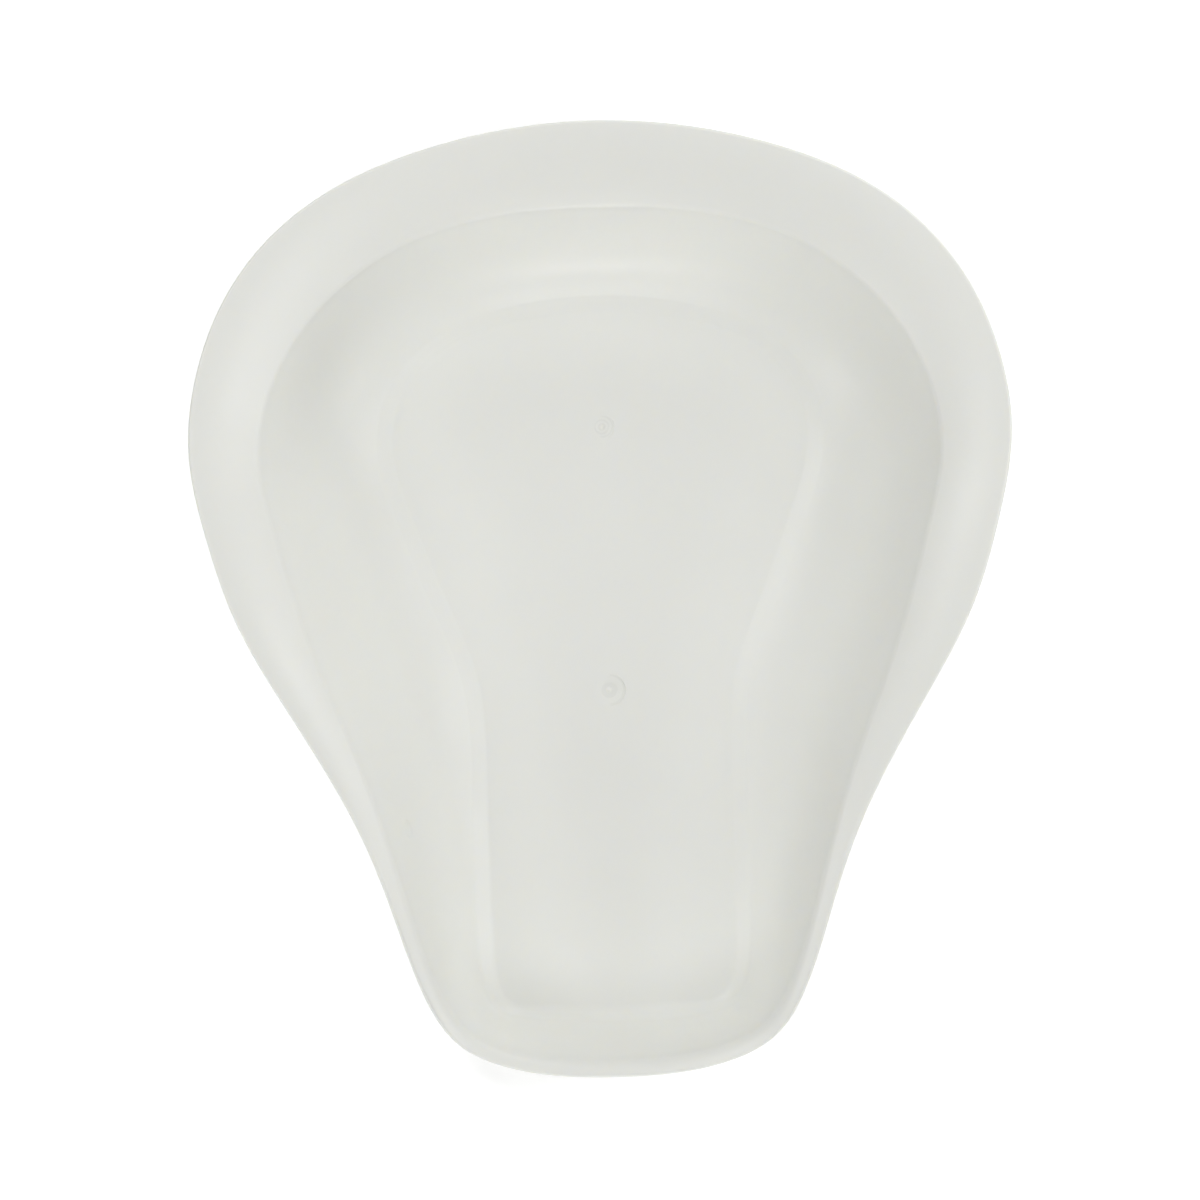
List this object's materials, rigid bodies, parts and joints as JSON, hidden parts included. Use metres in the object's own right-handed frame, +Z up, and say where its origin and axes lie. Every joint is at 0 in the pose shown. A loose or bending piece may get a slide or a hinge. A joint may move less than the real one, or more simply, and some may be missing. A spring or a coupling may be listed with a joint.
{
  "type": "bedpan",
  "caption": "One-piece moulded plastic bedpan: wide sloping seat round a deep keyhole-shaped basin that narrows to a rounded pouring end.",
  "frame": {"origin": "middle of the bounding box, on the plane of the flat base", "axes": "+Z up out of the bowl; +Y towards the wide rear of the seat, with the narrow pouring end at -Y; +X to the right when facing the rear"},
  "size_m": [0.3058, 0.356, 0.0683],
  "materials": {
    "ivory_polypropylene": "semi-gloss, slightly translucent, ivory"
  },
  "bodies": {
    "root": {"pan_shell": "ivory_polypropylene"}
  },
  "joints": []
}
